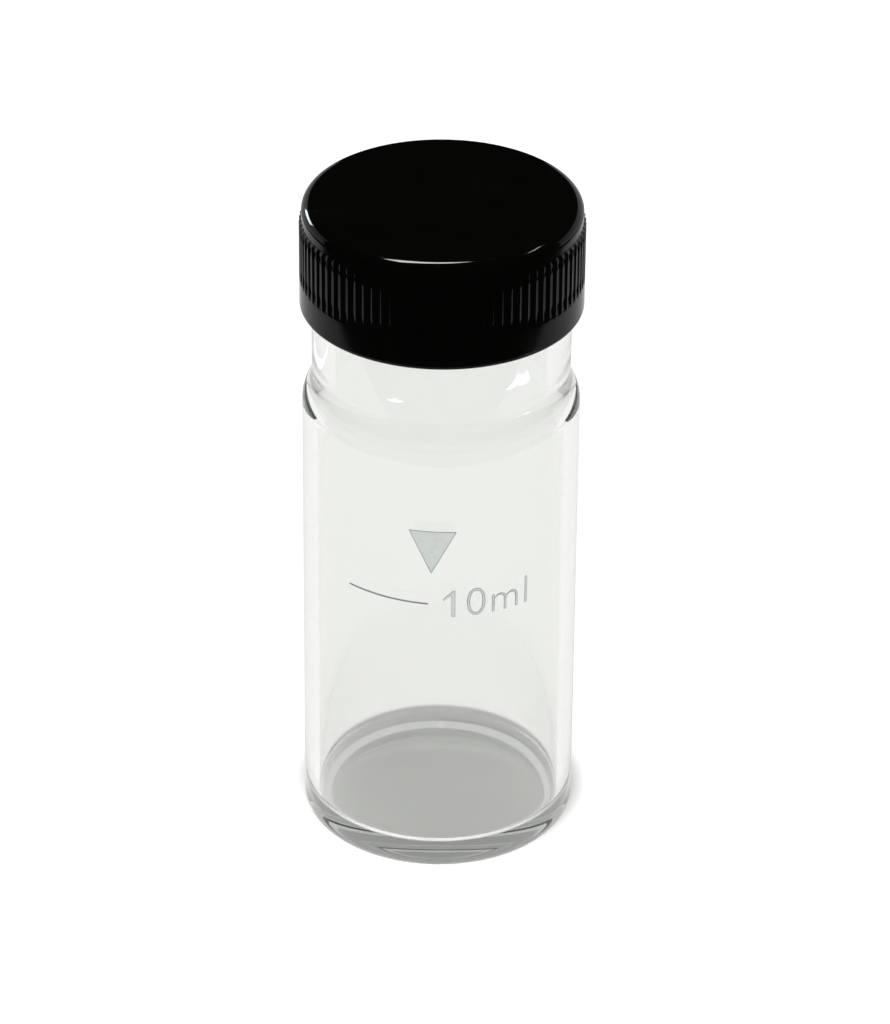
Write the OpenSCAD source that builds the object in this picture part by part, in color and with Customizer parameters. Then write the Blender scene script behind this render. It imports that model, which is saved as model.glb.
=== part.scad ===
// Round glass sample vial with a ribbed screw cap, upright on its base.
// Millimetres, +Z up, origin at the middle of the standing ring.

/* [Glass body] */
// Outside diameter of the body
body_od = 24.6; // [18:0.1:40]
// Thickness of the side wall
wall_t = 1.3; // [1:0.05:1.6]
// Thickness of the floor
floor_t = 2.2; // [1.8:0.1:4]
// Height of the straight side, from the base to the shoulder
side_h = 42.4; // [25:0.1:70]
// Radius of the outside heel
heel_r = 1.2; // [0.6:0.1:1.8]
// Radius between the floor and the side inside
floor_fillet = 1.8; // [0.8:0.1:3]
// Width of the flat ring that the vial stands on
ring_w = 1.2; // [0.8:0.1:3]
// Rise of the hollow under the base
punt_h = 0.5; // [0.2:0.05:0.9]

/* [Neck] */
// Radius of the shoulder
shoulder_r = 3; // [2:0.1:4]
// Radius that blends the shoulder into the neck
shoulder_blend = 0.6; // [0.3:0.1:1]
// How far the plain neck is set in from the side
neck_step = 0.85; // [0.4:0.05:1.6]
// Height of the plain neck above the straight side
neck_h = 9.4; // [6:0.1:20]
// How far the root of the neck's thread, under the cap, is set in from the plain neck
thread_depth = 0.85; // [0.7:0.05:1.2]
// Height of the part of the neck that takes the cap
finish_h = 7.6; // [6.5:0.1:14]
// Thickness of the neck's wall at the root of the thread
neck_wall = 1.2; // [0.8:0.05:2.5]
// Radius where the bore opens into the body
bore_edge_r = 1; // [0.4:0.1:1.6]
// Radius on the edges of the rim and of the neck's step
rim_r = 0.3; // [0.1:0.05:0.35]

/* [Cap] */
// Thickness of the skirt, over the ribs
skirt_t = 0.95; // [0.8:0.05:1.6]
// How far the skirt comes down below the rim of the glass
skirt_drop = 7.5; // [6:0.1:12]
// Thickness of the top
top_t = 1.6; // [1:0.1:3]
// Radius of the top edge
cap_edge_r = 1; // [0.3:0.1:1.2]
// Height of the plain rim above the ribs
cap_rim_h = 1.8; // [1.3:0.1:2.5]
// Height of the plain band below the ribs
band_h = 2.8; // [1.5:0.1:3.5]
// Number of ribs
rib_count = 90; // [48:2:110]
// Depth of the grooves between the ribs
groove_depth = 0.12; // [0.06:0.01:0.25]
// How far the plain rim is set in from the bottom of the grooves
rim_step = 0.08; // [0.04:0.01:0.15]
// Share of the pitch that a groove takes
groove_share = 0.82; // [0.5:0.01:0.9]
// Radius of the lower edge and chamfer at the mouth
mouth_edge = 0.3; // [0.1:0.05:0.4]

/* [Liner] */
// Thickness of the sealing liner in the cap
liner_t = 1; // [0.5:0.1:2]

/* [Fits] */
// Clearance between the plain neck and the cap's bore, on the radius
cap_clear = 0.1; // [0.05:0.01:0.3]
// Clearance between the liner and the cap's bore, on the radius
liner_clear = 0.2; // [0.05:0.05:0.5]

/* [Hidden] */
$fn = 128;
// Steps round the wide sphere under the base, and round each small groove
punt_fn = 720;
groove_fn = 32;
lap = 0.1;
// A fillet bites this far into the round that it meets, so that the two cross cleanly
bite = 0.005;
body_r = body_od / 2;
inside_r = body_r - wall_t;
neck_r = body_r - neck_step;
root_r = neck_r - thread_depth;
bore_r = root_r - neck_wall;
neck_top_z = side_h + neck_h;
rim_z = neck_top_z + finish_h;
// The shoulder's outer and inner rounds share this centre
shoulder_c = [body_r - shoulder_r, side_h];
punt_r = body_r - heel_r - ring_w;
punt_sphere_r = (punt_r * punt_r + punt_h * punt_h) / (2 * punt_h);
cap_z = rim_z - skirt_drop;
cap_roof_z = rim_z + liner_t;
cap_top_z = cap_roof_z + top_t;
cap_bore_r = neck_r + cap_clear;
cap_r = cap_bore_r + skirt_t;
cap_rim_r = cap_r - groove_depth - rim_step;
rib_low_z = cap_z + band_h;
rib_top_z = cap_top_z - cap_rim_h;
// A groove is a round cut: half its width and its depth fix its radius
groove_half = groove_share * PI * cap_r / rib_count;
groove_r = (groove_half * groove_half + groove_depth * groove_depth) / (2 * groove_depth);
groove_at = cap_r - groove_depth + groove_r;
liner_r = cap_bore_r - liner_clear;

// Half section of a turned block with rounded lower and upper outside edges
module turned(r, z0, z1, low_r = 0, top_r = 0) {
    translate([0, z0 + low_r]) square([r, z1 - z0 - low_r - top_r]);
    if (low_r > 0) {
        translate([0, z0]) square([r - low_r, low_r + lap]);
        translate([r - low_r, z0 + low_r]) circle(low_r);
    }
    if (top_r > 0) {
        translate([0, z1 - top_r - lap]) square([r - top_r, top_r + lap]);
        translate([r - top_r, z1 - top_r]) circle(top_r);
    }
}

// Fillet of radius f between an upright line at x and the round corner of radius a about c below it
module upright_to_round(x, c, a, f) {
    dx = max(0, x + f - c.x);
    apart = a + f - bite;
    f_z = c.y + sqrt(apart * apart - dx * dx);
    inner = dx > 0 ? c + (a - lap) / apart * [dx, f_z - c.y] : [x + f, c.y + a - lap];
    difference() {
        polygon([[x - lap, f_z], [x + f, f_z], inner, [x - lap, inner.y]]);
        translate([x + f, f_z]) circle(f);
    }
}

// Fillet of radius f in the corner above a ledge at z and outside an upright line at x
module ledge_fillet(x, z, f) {
    difference() {
        translate([x - lap, z - lap]) square(f + lap);
        translate([x + f, z + f]) circle(f);
    }
}

// Outside of the glass, without the fillet at the foot of the neck and the hollow under the base
module glass_outline() {
    turned(body_r, 0, side_h + shoulder_r, heel_r, shoulder_r);
    turned(neck_r, side_h, neck_top_z, 0, rim_r);
    turned(root_r, side_h, rim_z, 0, rim_r);
    ledge_fillet(root_r, neck_top_z, rim_r);
}

// Space inside the glass, open at the rim
module glass_hollow() {
    turned(inside_r, floor_t, side_h + shoulder_r - wall_t, floor_fillet, shoulder_r - wall_t);
    turned(bore_r, side_h, rim_z + lap);
    upright_to_round(bore_r, shoulder_c, shoulder_r - wall_t, bore_edge_r);
    difference() {
        translate([bore_r - lap, rim_z - rim_r]) square(rim_r + lap);
        translate([bore_r + rim_r, rim_z - rim_r]) circle(rim_r);
    }
}

// One-piece glass vial: base, side, shoulder, neck and rim
module vial() {
    color([0.88, 0.92, 0.9, 0.5])
        difference() {
            union() {
                rotate_extrude() glass_outline();
                rotate_extrude() upright_to_round(neck_r, shoulder_c, shoulder_r, shoulder_blend);
            }
            rotate_extrude() glass_hollow();
            translate([0, 0, punt_h - punt_sphere_r]) sphere(punt_sphere_r, $fn = punt_fn);
        }
}

// Cross section of the ribbed part of the skirt
module ribbed_section() {
    difference() {
        circle(cap_r);
        for (i = [0 : rib_count - 1])
            rotate(i * 360 / rib_count) translate([groove_at, 0]) circle(groove_r, $fn = groove_fn);
    }
}

// Outside of the cap apart from its ribs: the plain band, the core and the rim with its rounded edge
module cap_outline() {
    turned(cap_r, cap_z, rib_low_z, mouth_edge);
    turned(cap_rim_r - lap, cap_z + mouth_edge, cap_top_z - cap_edge_r);
    turned(cap_rim_r, rib_top_z, cap_top_z, 0, cap_edge_r);
}

// Space inside the cap, with a chamfered mouth
module cap_hollow() {
    turned(cap_bore_r, cap_z - lap, cap_roof_z);
    polygon([
        [cap_bore_r - lap, cap_z - lap],
        [cap_bore_r + mouth_edge + lap, cap_z - lap],
        [cap_bore_r - lap, cap_z + mouth_edge + lap]
    ]);
}

// Screw cap with upright grip ribs
module cap() {
    color([0.03, 0.03, 0.035])
        difference() {
            union() {
                rotate_extrude() cap_outline();
                translate([0, 0, rib_low_z]) linear_extrude(rib_top_z - rib_low_z) ribbed_section();
            }
            rotate_extrude() cap_hollow();
        }
}

// Sealing disc between the cap's roof and the rim of the glass
module liner() {
    color([0.9, 0.9, 0.87]) translate([0, 0, rim_z]) cylinder(liner_t, r = liner_r);
}

vial();
cap();
liner();
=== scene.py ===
"""Dresses a packed glass sample vial: clear glass, printed mark, ribbed black screw cap and its liner."""

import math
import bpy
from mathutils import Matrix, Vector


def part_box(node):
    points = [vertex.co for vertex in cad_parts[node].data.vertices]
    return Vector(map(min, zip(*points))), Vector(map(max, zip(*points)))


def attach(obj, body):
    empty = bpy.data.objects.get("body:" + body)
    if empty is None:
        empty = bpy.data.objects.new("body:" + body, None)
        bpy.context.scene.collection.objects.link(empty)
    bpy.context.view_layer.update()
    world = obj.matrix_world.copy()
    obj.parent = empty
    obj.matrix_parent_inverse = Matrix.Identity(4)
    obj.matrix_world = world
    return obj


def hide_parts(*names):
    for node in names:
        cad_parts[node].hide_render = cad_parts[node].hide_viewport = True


bl_info = {
    "name": "Glass Sample Vial",
    "version": (1, 0, 0),
    "blender": (4, 5, 0),
    "location": "View3D > Sidebar > Vial",
    "description": "Builds a round glass sample vial with a ribbed screw cap on its packed solids",
    "category": "Add Mesh",
}

import bpy
from bpy.props import FloatProperty, FloatVectorProperty, IntProperty, PointerProperty, StringProperty

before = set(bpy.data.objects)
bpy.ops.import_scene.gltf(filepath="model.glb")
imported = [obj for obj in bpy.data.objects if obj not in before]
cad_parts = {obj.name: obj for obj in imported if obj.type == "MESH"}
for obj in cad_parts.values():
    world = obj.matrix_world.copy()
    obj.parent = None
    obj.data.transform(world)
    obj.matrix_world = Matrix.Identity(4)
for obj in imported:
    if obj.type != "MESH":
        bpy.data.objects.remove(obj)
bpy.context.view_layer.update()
VIAL_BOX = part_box("vial")
CAP_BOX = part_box("cap")
LINER_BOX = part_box("liner")
MM = 0.001
# Steps along the round stretches of the outlines
WIDE_ARC = 12
MIDDLE_ARC = 10
INNER_ARC = 8
EDGE_ARC = 5
SMALL_ARC = 4
# Rows of points along the straight stretches of the outlines
NECK_ROWS = 64
BORE_ROWS = 36
ROOF_ROWS = 3
RIB_ROWS = 4
LINER_ROWS = 6
LINER_SIDE_ROWS = 2
# Steps round the turned pieces and the cards with a round opening
STEPS_PER_RIB = 10
LINER_STEPS = 128
RING_STEPS = 96
# Distance of the points that hold a straight stretch flat from its ends
GLASS_HOLD = 0.3 * MM
CAP_HOLD = 0.12 * MM
# Distances within which points are one point, are merged, or lie on a wall
SAME_POINT = 1e-7
MERGE = 0.002 * MM
ON_WALL = 0.01 * MM
# Turn where the thread in the cap begins, and the sharpest angle that is shaded smooth on the cap
CAP_THREAD_START = 0.6
CAP_SMOOTH = math.radians(45)
# Rounding of the fill line's ends as a share of its width, and steps in the corners of the print
LINE_ROUND = 0.45
LINE_CORNER_STEPS = 4
TRIANGLE_CORNER_STEPS = 3
# Height of the picture in picture elements, and the nearest distance that the camera sees
PICTURE_H = 1024
CLIP_START = 10 * MM
# Limits on light bounces, high because thick glass turns black without them
BOUNCES = {"max_bounces": 128, "glossy_bounces": 96, "transmission_bounces": 32}
# Outputs of the light path that the sky reads
RAYS = ("Is Camera Ray", "Is Transmission Ray", "Diffuse Depth")
# Outline of the graduation's first figure in millimetres, round from the front and up from its foot
FIGURE_ONE = ((1.07, 0), (1.41, 0), (1.41, 2.68), (1.2, 2.68), (0.37, 1.9), (0.37, 1.64), (1.07, 2.2))
# Kinds of ray that a light or a card is hidden from
GLOSS_ONLY = ("visible_diffuse", "visible_transmission")
DIFFUSE_ONLY = ("visible_glossy", "visible_transmission")
REFLECTIONS_ONLY = ("visible_camera", "visible_diffuse", "visible_transmission", "visible_shadow")
# Each light's name, place and size in metres, radiance, tint and the kinds of ray that don't see it
LIGHTS = (
    ("key", (-0.005, -0.09, 2), (0.06, 0.06), 2400, (1, 1, 0.98), DIFFUSE_ONLY),
    ("side", (1.2, 0.4, 1.54), (0.55, 0.025), 100, (1, 1, 0.98), GLOSS_ONLY),
)
# Each bright card's name, place and size in metres, radiance and tint
CARDS = (
    ("overhead", (-0.3, 0.3, 1.95), (1.3, 0.32), 60, (1, 1, 0.97)),
    ("window", (-1.36, 1.4, 0.44), (0.6, 0.35), 25, (0.82, 0.9, 1)),
    ("left_reflector", (-0.106, 0.106, 0.055), (0.2, 0.11), 0.65, (1, 1, 1)),
    ("right_reflector", (0.106, 0.106, 0.055), (0.2, 0.11), 0.65, (1, 1, 1)),
)
# Each bright card on the floor that glints in the neck: its name, corners in millimetres, radiance and tint
GLINTS = (
    (
        "glint_right",
        ((79.5, -54.2), (91, -37.3), (95.5, -20.5), (94.4, -15.4), (88.4, -37.6)),
        10,
        (1, 1, 1),
    ),
    ("glint_left", ((-69.5, -64.7), (-59.8, -74.5), (-49.3, -81.8), (-59.2, -73.9)), 10, (1, 1, 0.97)),
    ("glint_side", ((-50, 79), (-90, 39), (-87, 40), (-48, 76)), 1.6, (0.7, 0.88, 1)),
)


def length(label, words, default):
    """A size in metres that a user may change."""
    return FloatProperty(
        name=label, description=words, default=default, min=0.0, precision=5, unit="LENGTH"
    )


def angle(label, words, degrees):
    """An angle that a user may change, given in degrees."""
    return FloatProperty(name=label, description=words, default=math.radians(degrees), unit="ROTATION")


def share(label, words, default):
    """A plain number that a user may change."""
    return FloatProperty(name=label, description=words, default=default, min=0.0)


def colour(label, words, default):
    """A linear colour that a user may change."""
    return FloatVectorProperty(
        name=label, description=words, default=default, size=3, min=0.0, subtype="COLOR"
    )


# Sizes and colours


class GlassSettings(bpy.types.PropertyGroup):
    """Sizes of the one-piece glass vial."""

    body_r: length("Body radius", "Outside radius of the straight side", VIAL_BOX[1][0])
    rim_z: length("Rim height", "Height of the rim above the standing ring", VIAL_BOX[1][2])
    wall: length("Wall", "Thickness of the side wall", 1.3 * MM)
    floor: length("Floor", "Thickness of the floor", 2.2 * MM)
    side_h: length("Side height", "Height of the straight side", 42.4 * MM)
    heel_r: length("Heel radius", "Radius of the outside heel", 1.2 * MM)
    floor_fillet: length("Floor fillet", "Radius between the floor and the side inside", 1 * MM)
    ring_w: length("Ring width", "Width of the flat ring that the vial stands on", 1.2 * MM)
    punt_h: length("Punt rise", "Rise of the hollow under the base", 0.5 * MM)
    shoulder_r: length("Shoulder radius", "Outside radius of the shoulder", 3 * MM)
    shoulder_blend: length("Shoulder blend", "Radius that blends the shoulder into the neck", 4 * MM)
    neck_step: length("Neck step", "How far the plain neck is set in from the side", 0.85 * MM)
    neck_h: length("Neck height", "Height of the plain neck above the straight side", 9.4 * MM)
    root_step: length("Root step", "How far the root of the thread is set in from the plain neck", 0.85 * MM)
    neck_wall: length("Neck wall", "Thickness of the neck at the root of the thread", 1.2 * MM)
    bore_edge: length("Bore edge", "Radius where the bore opens into the body", 3 * MM)
    edge_r: length("Edge radius", "Radius on the edges of the rim and of the neck's step", 0.3 * MM)
    steps: IntProperty(name="Steps", description="Steps round the glass", default=192, min=24)
    # The tint is partly the glass's own faint green and partly painted shade: it is set darker to stand in
    # for the shade seen through the glass.
    tint: colour("Tint", "Colour of the glass at its surface", (0.9, 0.906, 0.893))
    depth_tint: colour("Depth tint", "Colour that thick glass takes on", (0.61, 0.63, 0.59))
    density: share("Density", "Strength of the depth tint, per metre", 45.0)


class ThreadSettings(bpy.types.PropertyGroup):
    """Sizes of the thread on the neck and in the cap."""

    lead: length("Lead", "Rise of the thread in one turn", 3.175 * MM)
    height: length("Height", "How far the thread stands out", 0.68 * MM)
    crest: length("Crest", "Half width of the thread's rounded crest", 0.3 * MM)
    flank: length("Flank", "Width of each sloping flank", 0.6 * MM)
    lift: length("Lift", "Height of the neck thread's first turn above the neck's step", 1.3 * MM)
    neck_turns: share("Neck turns", "Turns of thread on the neck", 1.4)
    cap_turns: share("Cap turns", "Turns of thread in the cap", 1.3)
    fade: share("Fade", "Share of a turn over which each end of a thread runs out", 0.1)


class CapSettings(bpy.types.PropertyGroup):
    """Sizes and colours of the ribbed screw cap and its liner."""

    outer_r: length("Radius", "Radius over the ribs", CAP_BOX[1][0])
    mouth_z: length("Mouth height", "Height of the lower edge", CAP_BOX[0][2])
    top_z: length("Top height", "Height of the top", CAP_BOX[1][2])
    roof_z: length("Roof height", "Height of the roof inside, on the liner", LINER_BOX[1][2])
    skirt: length("Skirt", "Thickness of the skirt over the ribs", 0.95 * MM)
    edge_r: length("Edge radius", "Radius of the top edge", 1 * MM)
    rim_h: length("Rim height", "Height of the plain rim above the ribs", 1.8 * MM)
    rim_step: length("Rim step", "How far the plain rim is set in from the bottom of the grooves", 0.08 * MM)
    band_h: length("Band height", "Height of the plain band below the ribs", 2.8 * MM)
    ribs: IntProperty(name="Ribs", description="Number of ribs", default=90, min=12)
    groove: length("Groove depth", "Depth of the grooves between the ribs", 0.12 * MM)
    groove_share: share("Groove share", "Share of the pitch that a groove takes", 0.82)
    run_out: length("Run out", "Height over which a groove ends", 0.2 * MM)
    mouth_edge: length("Mouth edge", "Radius of the lower edge and chamfer of the mouth", 0.3 * MM)
    liner_edge: length("Liner edge", "Radius of the liner's edges", 0.15 * MM)
    plastic: colour("Plastic", "Colour of the cap", (0.0013, 0.0015, 0.0011))
    foam: colour("Foam", "Colour of the liner", (0.82, 0.82, 0.78))


class MarkSettings(bpy.types.PropertyGroup):
    """Sizes and colour of the mark printed on the side."""

    line_z: length("Line height", "Height of the fill line", 28.5 * MM)
    line_start: angle("Line start", "Angle of the fill line's left end from the front", -40.2)
    line_end: angle("Line end", "Angle of the fill line's right end from the front", -4.6)
    line_w: length("Line width", "Width of the fill line", 0.16 * MM)
    line_tilt: angle("Line tilt", "How far the fill line was printed out of level", 2.4)
    words: StringProperty(name="Words", description="Graduation after its first figure", default="0ml")
    words_start: angle("Words start", "Angle where the graduation goes on after its first figure", 11.4)
    words_size: length("Words size", "Height of the graduation's letters with their spacing", 4.1 * MM)
    words_thin: length("Words thinned", "How far each stroke is thinned on both sides", 0.06 * MM)
    words_space: share("Words spacing", "Spacing of the letters", 1.07)
    words_drop: length("Words drop", "How far the letters' foot lies below the fill line", 1.5 * MM)
    triangle_w: length("Triangle width", "Width of the alignment mark", 4.22 * MM)
    triangle_h: length("Triangle height", "Height of the alignment mark", 4.28 * MM)
    triangle_at: angle("Triangle place", "Angle of the alignment mark from the front", -3.45)
    triangle_lift: length("Triangle lift", "Gap between the fill line and the tip of the mark", 2.97 * MM)
    triangle_tilt: angle("Triangle tilt", "How far the alignment mark was printed out of level", 1.5)
    corner: length("Corner", "Radius at the corners of the print", 0.06 * MM)
    # The darker edge round the print is painted shade, standing in for the shadow and refraction along the
    # print's edges.
    shade_edge_w: length("Edge width", "Width of the darker edge round the print", 0.06 * MM)
    sunk: length("Sunk", "How far the print is fired into the glass", 0.01 * MM)
    proud: length("Proud", "How far the print stands out of the glass", 0.02 * MM)
    slice_w: length("Slice width", "Longest straight stretch round the glass", 0.25 * MM)
    enamel: colour("Enamel", "Colour of the print", (0.8, 0.85, 0.82))
    # The edge colour is the fill line's own dark print, and painted shade round the edges of the rest of the
    # print.
    edge: colour("Edge", "Colour of the print's edges and of the fill line", (0.28, 0.31, 0.3))


class StageSettings(bpy.types.PropertyGroup):
    """Camera, floor and light."""

    distance: length("Distance", "Distance from the camera to the point it looks at", 461 * MM)
    elevation: angle("Elevation", "Camera's height above the horizon", 30.7)
    roll: angle("Roll", "Camera's turn about its own axis", 0.5)
    aim_z: length("Aim height", "Height of the point that the camera looks at", 30.46 * MM)
    aim_x: FloatProperty(
        name="Aim offset",
        description="Place of that point across the picture",
        default=0.43 * MM,
        unit="LENGTH",
    )
    focal_px: share("Focal length", "Focal length in picture elements", 5134.0)
    floor_size: length("Floor size", "Side of the floor", 6.0)
    floor_colour: colour("Floor colour", "Colour of the floor", (0.8, 0.8, 0.8))
    floor_glow: share("Floor glow", "Light that the floor gives off by itself", 0.29)
    sky: share("Sky", "Strength of the light that falls from all round", 0.45)
    sheen: share("Sheen", "Strength of the surroundings in reflections", 0.01)
    beyond: share("Beyond", "Strength of the surroundings that show through the glass", 0.6)
    flag_r: length("Flag opening", "Radius of the bright floor inside the dark card", 115 * MM)
    flag_shift: length("Flag shift", "How far that opening is set back from the vial", 30 * MM)
    flag_lift: length("Flag lift", "Height of the dark card above the floor", 0.2 * MM)
    floor_sheen: share("Floor sheen", "Strength of the bright floor in reflections", 0.8)
    foot_r: length("Foot radius", "Radius round the vial's foot that the grey card leaves free", 14 * MM)


# Outlines of turned pieces


def arc(centre, radius, start, end, count):
    """Points on a round stretch of an outline, from one angle to another, in degrees."""
    turns = [math.radians(start + (end - start) * i / count) for i in range(count + 1)]
    return [(centre[0] + radius * math.cos(t), centre[1] + radius * math.sin(t)) for t in turns]


def straight(start, end, count):
    """Points on a straight stretch of an outline, without its two ends."""
    shares = [(i + 1) / (count + 1) for i in range(count)]
    return [tuple(a + (b - a) * s for a, b in zip(start, end)) for s in shares]


def held_straight(start, end, hold):
    """A straight stretch held flat by a point close to each end."""
    run = math.dist(start, end)
    return [tuple(a + (b - a) * s for a, b in zip(start, end)) for s in (hold / run, 0.5, 1 - hold / run)]


def joined(*stretches):
    """One outline from stretches, with points that repeat left out."""
    points = []
    for stretch in stretches:
        for point in stretch:
            if not points or math.dist(point, points[-1]) > SAME_POINT:
                points.append(point)
    return points


def blend_to_round(x, centre, radius, fillet):
    """Centre of a fillet between an upright line and a round below it, and the angle where they meet."""
    dx = x + fillet - centre[0]
    dz = math.sqrt((radius + fillet) ** 2 - dx ** 2)
    return (x + fillet, centre[1] + dz), math.degrees(math.atan2(dz, dx))


def glass_outline(g):
    """Half section of the glass, from the middle of the underside round to the middle of the floor."""
    neck_r = g.body_r - g.neck_step
    root_r = neck_r - g.root_step
    bore_r = root_r - g.neck_wall
    inside_r = g.body_r - g.wall
    neck_top = g.side_h + g.neck_h
    round_at = (g.body_r - g.shoulder_r, g.side_h)
    inner_r = g.shoulder_r - g.wall
    punt_r = g.body_r - g.heel_r - g.ring_w
    punt_sphere = (punt_r ** 2 + g.punt_h ** 2) / (2 * g.punt_h)
    punt_at = [punt_r * i / MIDDLE_ARC for i in range(MIDDLE_ARC + 1)]
    punt = [(r, g.punt_h - punt_sphere + math.sqrt(punt_sphere ** 2 - r ** 2)) for r in punt_at]
    heel = arc((g.body_r - g.heel_r, g.heel_r), g.heel_r, -90, 0, MIDDLE_ARC)
    blend_at, blend_angle = blend_to_round(neck_r, round_at, g.shoulder_r, g.shoulder_blend)
    shoulder = arc(round_at, g.shoulder_r, 0, blend_angle, WIDE_ARC)
    blend = arc(blend_at, g.shoulder_blend, blend_angle + 180, 180, WIDE_ARC)
    step = arc((neck_r - g.edge_r, neck_top - g.edge_r), g.edge_r, 0, 90, EDGE_ARC)
    foot = arc((root_r + g.edge_r, neck_top + g.edge_r), g.edge_r, 270, 180, EDGE_ARC)
    rim = arc((root_r - g.edge_r, g.rim_z - g.edge_r), g.edge_r, 0, 90, EDGE_ARC)
    lip = arc((bore_r + g.edge_r, g.rim_z - g.edge_r), g.edge_r, 90, 180, EDGE_ARC)
    edge_at, edge_angle = blend_to_round(bore_r, round_at, inner_r, g.bore_edge)
    bore_edge = arc(edge_at, g.bore_edge, 180, edge_angle + 180, WIDE_ARC)
    inner = arc(round_at, inner_r, edge_angle, 0, INNER_ARC)
    fillet_at = (inside_r - g.floor_fillet, g.floor + g.floor_fillet)
    fillet = arc(fillet_at, g.floor_fillet, 0, -90, WIDE_ARC)
    return joined(
        punt,
        heel,
        held_straight(heel[-1], shoulder[0], GLASS_HOLD),
        shoulder,
        blend,
        held_straight(blend[-1], step[0], GLASS_HOLD),
        step,
        foot,
        straight(foot[-1], rim[0], NECK_ROWS),
        rim,
        lip,
        held_straight(lip[-1], bore_edge[0], GLASS_HOLD),
        bore_edge,
        inner,
        held_straight(inner[-1], fillet[0], GLASS_HOLD),
        fillet,
        held_straight(fillet[-1], (0, g.floor), GLASS_HOLD),
        [(0, g.floor)],
    )


def cap_outline(c):
    """Half section of the cap, from the middle of its roof inside round to the middle of its top."""
    bore_r = c.outer_r - c.skirt
    rim_r = c.outer_r - c.groove - c.rim_step
    rib_low = c.mouth_z + c.band_h
    rib_top = c.top_z - c.rim_h
    lower_at = (c.outer_r - c.mouth_edge, c.mouth_z + c.mouth_edge)
    lower = arc(lower_at, c.mouth_edge, -90, 0, SMALL_ARC)
    upper = arc((rim_r - c.edge_r, c.top_z - c.edge_r), c.edge_r, 0, 90, MIDDLE_ARC)
    return joined(
        [(0, c.roof_z)],
        straight((0, c.roof_z), (bore_r, c.roof_z), ROOF_ROWS),
        [(bore_r, c.roof_z)],
        straight((bore_r, c.roof_z), (bore_r, c.mouth_z + c.mouth_edge), BORE_ROWS),
        [(bore_r, c.mouth_z + c.mouth_edge), (bore_r + c.mouth_edge, c.mouth_z)],
        lower,
        held_straight(lower[-1], (c.outer_r, rib_low), CAP_HOLD),
        [(c.outer_r, rib_low), (c.outer_r, rib_low + c.run_out)],
        straight((c.outer_r, rib_low + c.run_out), (c.outer_r, rib_top - c.run_out), RIB_ROWS),
        [(c.outer_r, rib_top - c.run_out), (rim_r, rib_top)],
        held_straight((rim_r, rib_top), upper[0], CAP_HOLD),
        upper,
        held_straight(upper[-1], (0, c.top_z), CAP_HOLD),
        [(0, c.top_z)],
    )


def liner_outline(outer_r, low_z, top_z, edge_r):
    """Half section of the liner, from the middle of its underside round to the middle of its top."""
    lower = arc((outer_r - edge_r, low_z + edge_r), edge_r, -90, 0, SMALL_ARC)
    upper = arc((outer_r - edge_r, top_z - edge_r), edge_r, 0, 90, SMALL_ARC)
    return joined(
        [(0, low_z)],
        straight((0, low_z), lower[0], LINER_ROWS),
        lower,
        straight(lower[-1], upper[0], LINER_SIDE_ROWS),
        upper,
        straight(upper[-1], (0, top_z), LINER_ROWS),
        [(0, top_z)],
    )


# Modelling steps


def edit(piece):
    """Opens a piece alone in edit mode with all of it selected."""
    bpy.ops.object.select_all(action="DESELECT")
    piece.select_set(True)
    bpy.context.view_layer.objects.active = piece
    bpy.ops.object.mode_set(mode="EDIT")
    bpy.ops.mesh.select_all(action="SELECT")


def close_edit():
    """Leaves edit mode."""
    bpy.ops.object.mode_set(mode="OBJECT")


def new_plane(name):
    """A small plane to start a piece from."""
    bpy.ops.object.select_all(action="DESELECT")
    bpy.ops.mesh.primitive_plane_add(size=1 * MM)
    piece = bpy.context.object
    piece.name = name
    piece.data.name = name
    return piece


def drawn(name, points):
    """Draws a chain of edges from point to point, left open in edit mode."""
    piece = new_plane(name)
    edit(piece)
    bpy.ops.mesh.merge(type="CENTER")
    bpy.ops.transform.translate(value=points[0])
    for start, end in zip(points, points[1:]):
        step = [b - a for a, b in zip(start, end)]
        bpy.ops.mesh.extrude_vertices_move(TRANSFORM_OT_translate={"value": step})
    bpy.ops.mesh.select_all(action="SELECT")
    return piece


def turned_piece(name, outline, steps):
    """Draws an outline and spins it about Z into a closed piece."""
    piece = drawn(name, [(r, 0, z) for r, z in outline])
    bpy.ops.mesh.spin(steps=steps, angle=2 * math.pi, center=(0, 0, 0), axis=(0, 0, 1))
    bpy.ops.mesh.select_all(action="SELECT")
    bpy.ops.mesh.remove_doubles(threshold=MERGE)
    bpy.ops.mesh.normals_make_consistent(inside=False)
    close_edit()
    bpy.ops.object.shade_smooth()
    return piece


def apply_modifier(piece, kind, **settings):
    """Adds a modifier to a piece and applies it."""
    bpy.ops.object.select_all(action="DESELECT")
    piece.select_set(True)
    bpy.context.view_layer.objects.active = piece
    bpy.ops.object.modifier_add(type=kind)
    modifier = piece.modifiers[-1]
    for key, value in settings.items():
        setattr(modifier, key, value)
    bpy.ops.object.modifier_apply(modifier=modifier.name)


def push_out(piece, name, distance, weight_at):
    """Moves a piece's surface along its normals by a distance times the weight at each point."""
    group = piece.vertex_groups.new(name=name)
    for vertex in piece.data.vertices:
        weight = weight_at(vertex.co)
        if weight > 0:
            group.add([vertex.index], min(1.0, weight), "REPLACE")
    apply_modifier(piece, "DISPLACE", strength=distance, mid_level=0.0, vertex_group=group.name)
    piece.vertex_groups.remove(piece.vertex_groups[name])


def smooth_step(value):
    """A soft step from 0 to 1."""
    value = min(1.0, max(0.0, value))
    return value * value * (3 - 2 * value)


def thread_weight(t, radius, first_z, low_turn, high_turn):
    """Weight of a right-hand thread ridge on a round wall, for push_out."""

    def weight_at(co):
        if abs(math.hypot(co.x, co.y) - radius) > ON_WALL:
            return 0.0
        here = math.atan2(co.y, co.x) / (2 * math.pi)
        climbed = (co.z - first_z) / t.lead
        turn = here + round(climbed - here)
        ends = min(turn - low_turn, high_turn - turn) / t.fade
        away = abs(climbed - turn) * t.lead
        return smooth_step(ends) * smooth_step(1 - (away - t.crest) / t.flank)

    return weight_at


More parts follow.
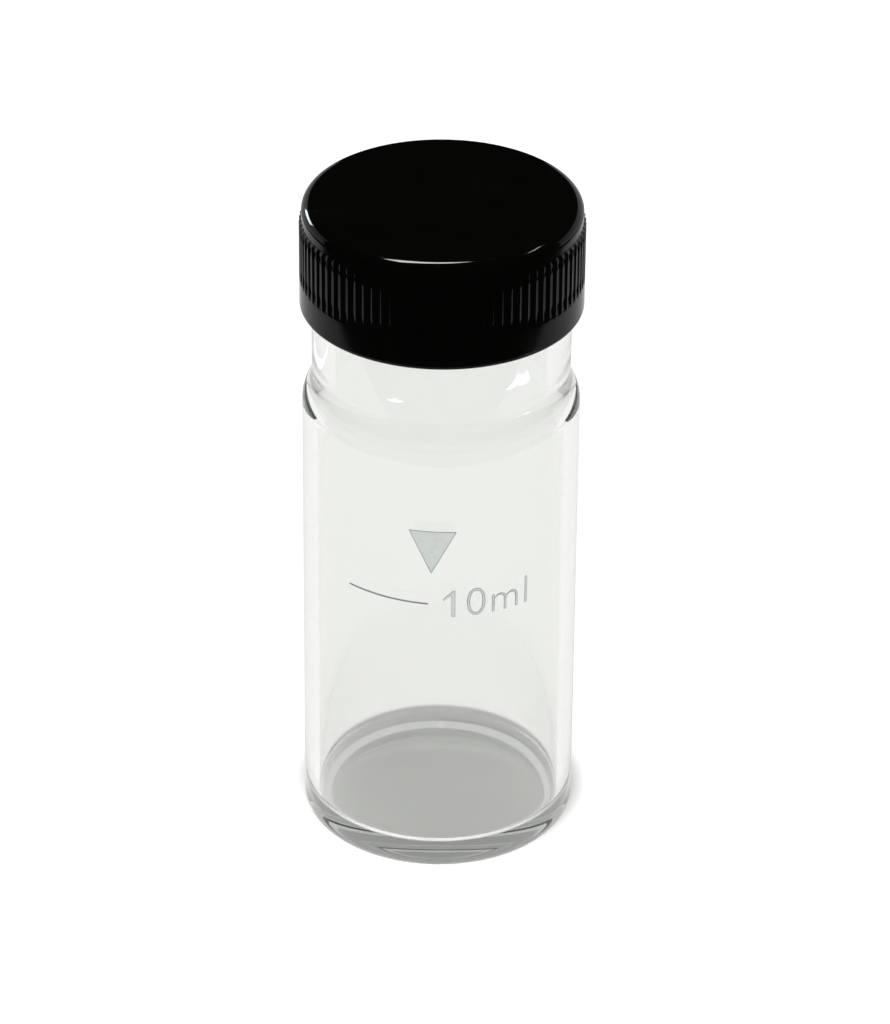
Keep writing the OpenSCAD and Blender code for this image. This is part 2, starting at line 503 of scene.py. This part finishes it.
def groove_weight(c):
    """Weight of the upright grooves between the cap's ribs, for push_out."""
    pitch = 2 * math.pi / c.ribs
    half = c.groove_share * math.pi * c.outer_r / c.ribs
    round_r = (half ** 2 + c.groove ** 2) / (2 * c.groove)
    low = c.mouth_z + c.band_h + 0.5 * c.run_out
    high = c.top_z - c.rim_h - 0.5 * c.run_out

    def weight_at(co):
        if abs(math.hypot(co.x, co.y) - c.outer_r) > ON_WALL or not low < co.z < high:
            return 0.0
        across = math.remainder(math.atan2(co.y, co.x), pitch) * c.outer_r
        if abs(across) >= half:
            return 0.0
        return (c.groove - round_r + math.sqrt(round_r ** 2 - across ** 2)) / c.groove

    return weight_at


def sliced(piece, width):
    """Cuts a flat piece into upright slices, so that it can be wrapped round the glass."""
    low = min(v.co.x for v in piece.data.vertices)
    high = max(v.co.x for v in piece.data.vertices)
    count = math.ceil((high - low) / width)
    edit(piece)
    for i in range(1, count):
        bpy.ops.mesh.select_all(action="SELECT")
        bpy.ops.mesh.bisect(plane_co=(low + (high - low) * i / count, 0, 0), plane_no=(1, 0, 0))
    close_edit()


def tilt(turn, centre):
    """Turns what is selected clockwise in its plane; with no window the operator turns the other way."""
    bpy.ops.transform.rotate(value=turn, orient_axis="Z", center_override=centre)


def edged(piece, width):
    """Sets a narrow border off all round a flat piece, for the second material, which paints shade round the
    print's edges.
    """
    edit(piece)
    bpy.ops.mesh.inset(thickness=width, use_even_offset=False)
    close_edit()
    for face in piece.data.polygons:
        face.material_index = 0 if face.select else 1


def wrapped(piece, radius):
    """Wraps a flat piece round the glass: across becomes round, up stays up and thickness stands out."""
    for vertex in piece.data.vertices:
        turn = vertex.co.x / radius
        out = radius + vertex.co.z
        vertex.co = (out * math.sin(turn), -out * math.cos(turn), vertex.co.y)
    piece.data.update()


def finish(piece, materials, body, slot, *nodes):
    """Gives a piece its materials and its body, and hides the solids that it stands for; the slot is not
    used.
    """
    if not piece.data.materials:
        for material in materials:
            piece.data.materials.append(material)
    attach(piece, body)
    if nodes:
        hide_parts(*nodes)


# Materials


class Wire:
    """A socket of a node tree; arithmetic on it adds Math nodes."""

    def __init__(self, tree, socket=None):
        self.tree = tree
        self.socket = socket

    def node(self, kind, settings=None, inputs=None, output=0):
        """Adds a node with its settings, then its values or links, and returns one of its outputs."""
        made = self.tree.nodes.new(kind)
        for key, value in (settings or {}).items():
            setattr(made, key, value)
        for key, value in (inputs or {}).items():
            if isinstance(value, Wire):
                self.tree.links.new(value.socket, made.inputs[key])
            else:
                made.inputs[key].default_value = value
        return Wire(self.tree, made.outputs[output]) if made.outputs else None

    def math(self, operation, *values):
        """A Math node on these values."""
        return self.node("ShaderNodeMath", {"operation": operation}, dict(enumerate(values)))

    def __add__(self, other):
        return self.math("ADD", self, other)

    def __sub__(self, other):
        return self.math("SUBTRACT", self, other)

    def __rsub__(self, other):
        return self.math("SUBTRACT", other, self)

    def __mul__(self, other):
        return self.math("MULTIPLY", self, other)

    __radd__ = __add__
    __rmul__ = __mul__


def new_material(name):
    """An empty material, and a wire to add its nodes with."""
    material = bpy.data.materials.new(name)
    material.use_nodes = True
    material.node_tree.nodes.clear()
    return material, Wire(material.node_tree)


def surface(wire, inputs, inside=None):
    """Closes a material with a Principled shader and, for glass, what is inside."""
    sockets = {"Surface": wire.node("ShaderNodeBsdfPrincipled", None, inputs)}
    if inside:
        sockets["Volume"] = inside
    wire.node("ShaderNodeOutputMaterial", None, sockets)


def grain(wire, scale, detail=2.0, roughness=0.5, stretch=None):
    """A noise in the piece's own space, in cycles per metre, drawn out along Z by stretch."""
    place = wire.node("ShaderNodeTexCoord", None, None, "Object")
    if stretch:
        place = wire.node("ShaderNodeMapping", None, {"Vector": place, "Scale": (1, 1, 1 / stretch)})
    inputs = {"Vector": place, "Scale": scale, "Detail": detail, "Roughness": roughness}
    return wire.node("ShaderNodeTexNoise", None, inputs)


def bump(wire, height, strength, distance):
    """A bump from a height, as a normal."""
    return wire.node("ShaderNodeBump", None, {"Height": height, "Strength": strength, "Distance": distance})


def tone(wire, factor, dark, light):
    """A colour between two, by a factor."""
    settings = {"data_type": "RGBA"}
    return wire.node("ShaderNodeMix", settings, {"Factor": factor, 6: (*dark, 1), 7: (*light, 1)}, 2)


def scaled(factor, base):
    """A colour made darker or lighter by a factor."""
    return [factor * v for v in base]


def clear_glass(g):
    """Clear drawn glass: faint upright draw lines, a little haze, and a tint that grows with depth."""
    material, wire = new_material("clear_glass")
    ripple = grain(wire, 160, detail=1, roughness=0.4, stretch=8)
    haze = grain(wire, 420, detail=4, roughness=0.6)
    depth = {"Color": (*g.depth_tint, 1), "Density": g.density}
    inside = wire.node("ShaderNodeVolumeAbsorption", None, depth)
    surface(wire, {
        # The base colour is the tint, part the glass's own colour and part painted shade, with a little
        # haze.
        "Base Color": tone(wire, haze, scaled(0.995, g.tint), g.tint),
        "Roughness": 0.002 + 0.012 * haze * haze,
        "IOR": 1.49,
        "Transmission Weight": 1.0,
        "Normal": bump(wire, ripple, strength=0.04, distance=0.2 * MM),
    }, inside)
    return material


def cap_plastic(c):
    """Glossy black moulded plastic: fine mould texture and soft patches of wear."""
    material, wire = new_material("cap_plastic")
    fine = grain(wire, 5200, detail=2)
    patch = grain(wire, 240, detail=3)
    surface(wire, {
        "Base Color": tone(wire, patch, scaled(0.6, c.plastic), scaled(1.6, c.plastic)),
        "Roughness": 0.05 + 0.06 * patch,
        "Specular IOR Level": 0.12,
        "Normal": bump(wire, fine, strength=0.05, distance=0.02 * MM),
    })
    return material


def liner_foam(c):
    """Closed-cell white foam."""
    material, wire = new_material("liner_foam")
    place = wire.node("ShaderNodeTexCoord", None, None, "Object")
    cells = wire.node("ShaderNodeTexVoronoi", None, {"Vector": place, "Scale": 4200.0})
    surface(wire, {
        "Base Color": tone(wire, cells, c.foam, scaled(0.9, c.foam)),
        "Roughness": 0.75 + 0.15 * cells,
        "Normal": bump(wire, cells, strength=0.35, distance=0.05 * MM),
    })
    return material


def enamel(name, base):
    """Fired grey enamel, thin and a little patchy."""
    material, wire = new_material(name)
    patch = grain(wire, 1600, detail=3, roughness=0.6)
    surface(wire, {
        "Base Color": tone(wire, patch, scaled(0.9, base), scaled(1.1, base)),
        "Roughness": 0.4 + 0.2 * patch,
        "Normal": bump(wire, patch, strength=0.2, distance=0.02 * MM),
    })
    return material


def bright_card(name, radiance, tint):
    """Card that glows and lets light through; no light is sampled from it on purpose."""
    material, wire = new_material(name)
    glow = wire.node("ShaderNodeEmission", None, {"Color": (*tint, 1), "Strength": radiance})
    through = wire.node("ShaderNodeBsdfTransparent")
    both = wire.node("ShaderNodeAddShader", None, {0: glow, 1: through})
    wire.node("ShaderNodeOutputMaterial", None, {"Surface": both})
    material.cycles.emission_sampling = "NONE"
    return material


def dark_card():
    """Matt black card."""
    material, wire = new_material("dark_card")
    surface(wire, {"Base Color": (0.004, 0.004, 0.004, 1), "Roughness": 0.9, "Specular IOR Level": 0.0})
    return material


def grey_card(radiance):
    """Card that glows evenly; no light is sampled from it on purpose."""
    material, wire = new_material("grey_card")
    glow = wire.node("ShaderNodeEmission", None, {"Strength": radiance})
    wire.node("ShaderNodeOutputMaterial", None, {"Surface": glow})
    material.cycles.emission_sampling = "NONE"
    return material


def pale_floor(s):
    """Plain pale floor that gives off a little light of its own."""
    material, wire = new_material("pale_floor")
    surface(wire, {
        "Base Color": (*s.floor_colour, 1),
        "Roughness": 0.9,
        "Specular IOR Level": 0.0,
        "Emission Color": (1, 1, 1, 1),
        "Emission Strength": s.floor_glow,
    })
    return material


# Stage steps


def only_in_reflections(card):
    """Hides a card of the stage from all rays but reflected ones."""
    for kind in REFLECTIONS_ONLY:
        setattr(card, kind, False)


def facing(place, aim):
    """Rotation that turns a light or a card at a place to face a point."""
    dx, dy, dz = (a - p for a, p in zip(aim, place))
    return (math.atan2(math.hypot(dx, dy), -dz), 0, math.atan2(dx, -dy) + math.pi)


# Operators


class VIAL_OT_glass(bpy.types.Operator):
    """Turns the glass vial and raises the thread on its neck"""

    bl_idname = "vial.glass"
    bl_label = "Glass Vial"

    def execute(self, context):
        g = context.scene.vial_glass
        t = context.scene.vial_thread
        piece = turned_piece("vial_glass", glass_outline(g), g.steps)
        root_r = g.body_r - g.neck_step - g.root_step
        first_z = g.side_h + g.neck_h + t.lift
        push_out(piece, "thread", t.height, thread_weight(t, root_r, first_z, 0.0, t.neck_turns))
        finish(piece, [clear_glass(g)], "glass", "clear_glass", "vial")
        piece.visible_shadow = False
        return {"FINISHED"}


class VIAL_OT_mark(bpy.types.Operator):
    """Prints the fill line, its graduation and the alignment mark on the side"""

    bl_idname = "vial.mark"
    bl_label = "Printed Mark"

    def execute(self, context):
        radius = context.scene.vial_glass.body_r
        m = context.scene.vial_mark
        # The second enamel colours the fill line and paints shade round the edges of the other print parts.
        materials = (enamel("enamel", m.enamel), enamel("enamel_line_and_edge_shade", m.edge))
        line = self.line(m, radius)
        parts = [line, self.triangle(m, radius), self.figure(m), self.words(m, radius)]
        for part in parts:
            part.data.materials.clear()
            for material in materials:
                part.data.materials.append(material)
            if part is not line:
                edged(part, m.shade_edge_w)
        for face in line.data.polygons:
            face.material_index = 1
        thickness = m.sunk + m.proud
        offset = (m.proud - m.sunk) / thickness
        for part in parts:
            sliced(part, m.slice_w)
            apply_modifier(part, "SOLIDIFY", thickness=thickness, offset=offset)
            wrapped(part, radius)
        bpy.ops.object.select_all(action="DESELECT")
        for part in parts:
            part.select_set(True)
        bpy.context.view_layer.objects.active = parts[0]
        bpy.ops.object.join()
        mark = bpy.context.object
        mark.name = "printed_mark"
        mark.data.name = "printed_mark"
        edit(mark)
        bpy.ops.mesh.normals_make_consistent(inside=False)
        close_edit()
        finish(mark, materials, "glass", "clear_glass")
        return {"FINISHED"}

    def line(self, m, radius):
        """Fill line with round ends, flat"""
        run = (m.line_end - m.line_start) * radius
        middle = 0.5 * (m.line_end + m.line_start) * radius
        part = new_plane("fill_line")
        edit(part)
        bpy.ops.transform.resize(value=(run / MM, m.line_w / MM, 1))
        bpy.ops.transform.translate(value=(middle, m.line_z, 0))
        bpy.ops.mesh.bevel(affect="VERTICES", offset=LINE_ROUND * m.line_w, segments=LINE_CORNER_STEPS)
        tilt(m.line_tilt, (middle, m.line_z, 0))
        close_edit()
        return part

    def triangle(self, m, radius):
        """Alignment mark that points down at the line, flat"""
        part = new_plane("triangle")
        edit(part)
        bpy.ops.transform.resize(value=(m.triangle_w / MM, m.triangle_h / MM, 1))
        bpy.ops.mesh.select_all(action="DESELECT")
        close_edit()
        for vertex in part.data.vertices:
            vertex.select = vertex.co.y < 0
        bpy.ops.object.mode_set(mode="EDIT")
        bpy.ops.mesh.merge(type="CENTER")
        bpy.ops.mesh.select_all(action="SELECT")
        low = m.line_z + m.triangle_lift
        bpy.ops.transform.translate(value=(m.triangle_at * radius, low + 0.5 * m.triangle_h, 0))
        bpy.ops.mesh.bevel(affect="VERTICES", offset=m.corner, segments=TRIANGLE_CORNER_STEPS)
        tilt(m.triangle_tilt, (m.triangle_at * radius, low, 0))
        close_edit()
        return part

    def figure(self, m):
        """First figure of the graduation with its flag, flat"""
        foot = m.line_z - m.words_drop
        part = drawn("figure", [(x * MM, foot + y * MM, 0) for x, y in FIGURE_ONE])
        bpy.ops.mesh.edge_face_add()
        close_edit()
        if part.data.polygons[0].normal.z < 0:
            edit(part)
            bpy.ops.mesh.flip_normals()
            close_edit()
        return part

    def words(self, m, radius):
        """Rest of the graduation, flat"""
        bpy.ops.object.select_all(action="DESELECT")
        bpy.ops.object.text_add()
        part = bpy.context.object
        part.name = "graduation"
        part.data.body = m.words
        part.data.size = m.words_size
        part.data.offset = -m.words_thin
        part.data.space_character = m.words_space
        bpy.ops.object.convert(target="MESH")
        left = min(v.co.x for v in part.data.vertices)
        edit(part)
        bpy.ops.mesh.remove_doubles(threshold=MERGE)
        bpy.ops.transform.translate(value=(m.words_start * radius - left, m.line_z - m.words_drop, 0))
        close_edit()
        return part


class VIAL_OT_cap(bpy.types.Operator):
    """Turns the cap, cuts its ribs and raises the thread inside"""

    bl_idname = "vial.cap"
    bl_label = "Screw Cap"

    def execute(self, context):
        g = context.scene.vial_glass
        c = context.scene.vial_cap
        t = context.scene.vial_thread
        piece = turned_piece("cap_shell", cap_outline(c), STEPS_PER_RIB * c.ribs)
        push_out(piece, "grooves", -c.groove, groove_weight(c))
        first_z = g.side_h + g.neck_h + t.lift - 0.5 * t.lead
        bore_r = c.outer_r - c.skirt
        last_turn = CAP_THREAD_START + t.cap_turns
        push_out(piece, "thread", t.height, thread_weight(t, bore_r, first_z, CAP_THREAD_START, last_turn))
        bpy.ops.object.shade_smooth_by_angle(angle=CAP_SMOOTH)
        finish(piece, [cap_plastic(c)], "closure", "cap_plastic", "cap")
        return {"FINISHED"}


class VIAL_OT_liner(bpy.types.Operator):
    """Turns the sealing liner that lies in the cap"""

    bl_idname = "vial.liner"
    bl_label = "Liner"

    def execute(self, context):
        c = context.scene.vial_cap
        outline = liner_outline(LINER_BOX[1][0], LINER_BOX[0][2], LINER_BOX[1][2], c.liner_edge)
        piece = turned_piece("liner_disc", outline, LINER_STEPS)
        finish(piece, [liner_foam(c)], "seal", "liner_foam", "liner")
        return {"FINISHED"}


class VIAL_OT_stage(bpy.types.Operator):
    """Sets up the floor, the lights, the sky and the camera"""

    bl_idname = "vial.stage"
    bl_label = "Stage"

    def execute(self, context):
        s = context.scene.vial_stage
        self.floor(s)
        self.ring(s, "flags", s.floor_size, 0, dark_card())
        self.ring(s, "near_floor", s.foot_r, -s.flag_shift, grey_card(s.floor_sheen))
        for light in LIGHTS:
            self.light(s, *light)
        for card in CARDS:
            self.card(s, *card)
        for glint in GLINTS:
            self.glint(s, *glint)
        self.sky(context.scene, s)
        self.camera(context.scene, s)
        context.scene.view_settings.view_transform = "Standard"
        self.light_paths(context.scene.cycles)
        return {"FINISHED"}

    def floor(self, s):
        """Wide floor at the height of the standing ring"""
        floor = new_plane("floor")
        edit(floor)
        bpy.ops.transform.resize(value=(s.floor_size / MM, s.floor_size / MM, 1))
        close_edit()
        floor.data.materials.append(pale_floor(s))

    def ring(self, s, name, radius, shift, material):
        """Flat ring from the bright floor's edge to another round, which shows only in reflections"""
        place = (0, s.flag_shift, s.flag_lift)
        bpy.ops.object.select_all(action="DESELECT")
        bpy.ops.mesh.primitive_circle_add(vertices=RING_STEPS, radius=s.flag_r, location=place)
        card = bpy.context.object
        card.name = name
        bpy.ops.object.transform_apply(location=True)
        edit(card)
        bpy.ops.mesh.extrude_edges_move()
        bpy.ops.transform.resize(value=(radius / s.flag_r, radius / s.flag_r, 1))
        bpy.ops.transform.translate(value=(0, shift, 0))
        close_edit()
        card.data.materials.append(material)
        only_in_reflections(card)

    def light(self, s, name, place, size, radiance, tint, hidden):
        """Soft box at a place, facing the vial and hidden from some kinds of ray"""
        bpy.ops.object.select_all(action="DESELECT")
        bpy.ops.object.light_add(type="AREA", location=place, rotation=facing(place, (0, 0, s.aim_z)))
        light = bpy.context.object
        light.name = name
        light.data.shape = "RECTANGLE"
        light.data.size, light.data.size_y = size
        light.data.energy = radiance * math.pi * size[0] * size[1]
        light.data.color = tint
        for kind in hidden:
            setattr(light, kind, False)

    def card(self, s, name, place, size, radiance, tint):
        """Bright card that faces the vial and shows only in reflections"""
        bpy.ops.object.select_all(action="DESELECT")
        bpy.ops.mesh.primitive_plane_add(size=1, location=place, rotation=facing(place, (0, 0, s.aim_z)))
        card = bpy.context.object
        card.name = name
        card.scale = (*size, 1)
        bpy.ops.object.transform_apply(location=True, rotation=True, scale=True)
        card.data.materials.append(bright_card(name, radiance, tint))
        only_in_reflections(card)

    def glint(self, s, name, corners, radiance, tint):
        """Bright card that lies on the floor and shows only in reflections"""
        card = drawn(name, [(x * MM, y * MM, 2 * s.flag_lift) for x, y in corners])
        bpy.ops.mesh.edge_face_add()
        close_edit()
        card.data.materials.append(bright_card(name, radiance, tint))
        only_in_reflections(card)

    def sky(self, scene, s):
        """Even light from all round, white where the camera sees it"""
        scene.world = bpy.data.worlds.new("studio")
        scene.world.use_nodes = True
        scene.world.node_tree.nodes.clear()
        wire = Wire(scene.world.node_tree)
        paths = {name: wire.node("ShaderNodeLightPath", None, None, name) for name in RAYS}
        seen = (1 - s.sheen) * paths["Is Camera Ray"] + (s.beyond - s.sheen) * paths["Is Transmission Ray"]
        fallen = wire.math("MINIMUM", paths["Diffuse Depth"], 1.0)
        direct = s.sheen + seen
        glow = wire.node("ShaderNodeBackground", None, {"Strength": fallen * s.sky + (1 - fallen) * direct})
        wire.node("ShaderNodeOutputWorld", None, {"Surface": glow})

    def light_paths(self, cycles):
        """Lets light go to and fro inside the thick glass as often as it does"""
        for limit, bounces in BOUNCES.items():
            setattr(cycles, limit, bounces)

    def camera(self, scene, s):
        """Camera at the photograph's angle"""
        back = s.distance * math.cos(s.elevation)
        up = s.distance * math.sin(s.elevation)
        turn = (math.pi / 2 - s.elevation, 0, 0)
        bpy.ops.object.camera_add(location=(s.aim_x, -back, s.aim_z + up), rotation=turn)
        camera = bpy.context.object
        camera.name = "camera"
        camera.rotation_euler.rotate_axis("Z", s.roll)
        camera.data.sensor_fit = "VERTICAL"
        camera.data.lens = s.focal_px * camera.data.sensor_height / PICTURE_H
        camera.data.clip_start = CLIP_START
        scene.camera = camera


class VIAL_PT_panel(bpy.types.Panel):
    """Builds the vial piece by piece"""

    bl_label = "Sample Vial"
    bl_idname = "VIAL_PT_panel"
    bl_space_type = "VIEW_3D"
    bl_region_type = "UI"
    bl_category = "Vial"

    def draw(self, context):
        for operator in OPERATORS:
            self.layout.operator(operator.bl_idname)
        for name in SETTINGS:
            settings = getattr(context.scene, name)
            box = self.layout.box()
            box.label(text=settings.bl_rna.description)
            for key in settings.__annotations__:
                box.prop(settings, key)


OPERATORS = (VIAL_OT_glass, VIAL_OT_mark, VIAL_OT_cap, VIAL_OT_liner, VIAL_OT_stage)
SETTINGS = {
    "vial_glass": GlassSettings,
    "vial_thread": ThreadSettings,
    "vial_cap": CapSettings,
    "vial_mark": MarkSettings,
    "vial_stage": StageSettings,
}


def register():
    for kind in (*SETTINGS.values(), *OPERATORS, VIAL_PT_panel):
        bpy.utils.register_class(kind)
    for name, kind in SETTINGS.items():
        setattr(bpy.types.Scene, name, PointerProperty(type=kind))


def unregister():
    for name in SETTINGS:
        delattr(bpy.types.Scene, name)
    for kind in (VIAL_PT_panel, *reversed(OPERATORS), *reversed(SETTINGS.values())):
        bpy.utils.unregister_class(kind)


def main():
    register()
    bpy.ops.vial.glass()
    bpy.ops.vial.mark()
    bpy.ops.vial.cap()
    bpy.ops.vial.liner()
    bpy.ops.vial.stage()


if __name__ == "__main__":
    main()
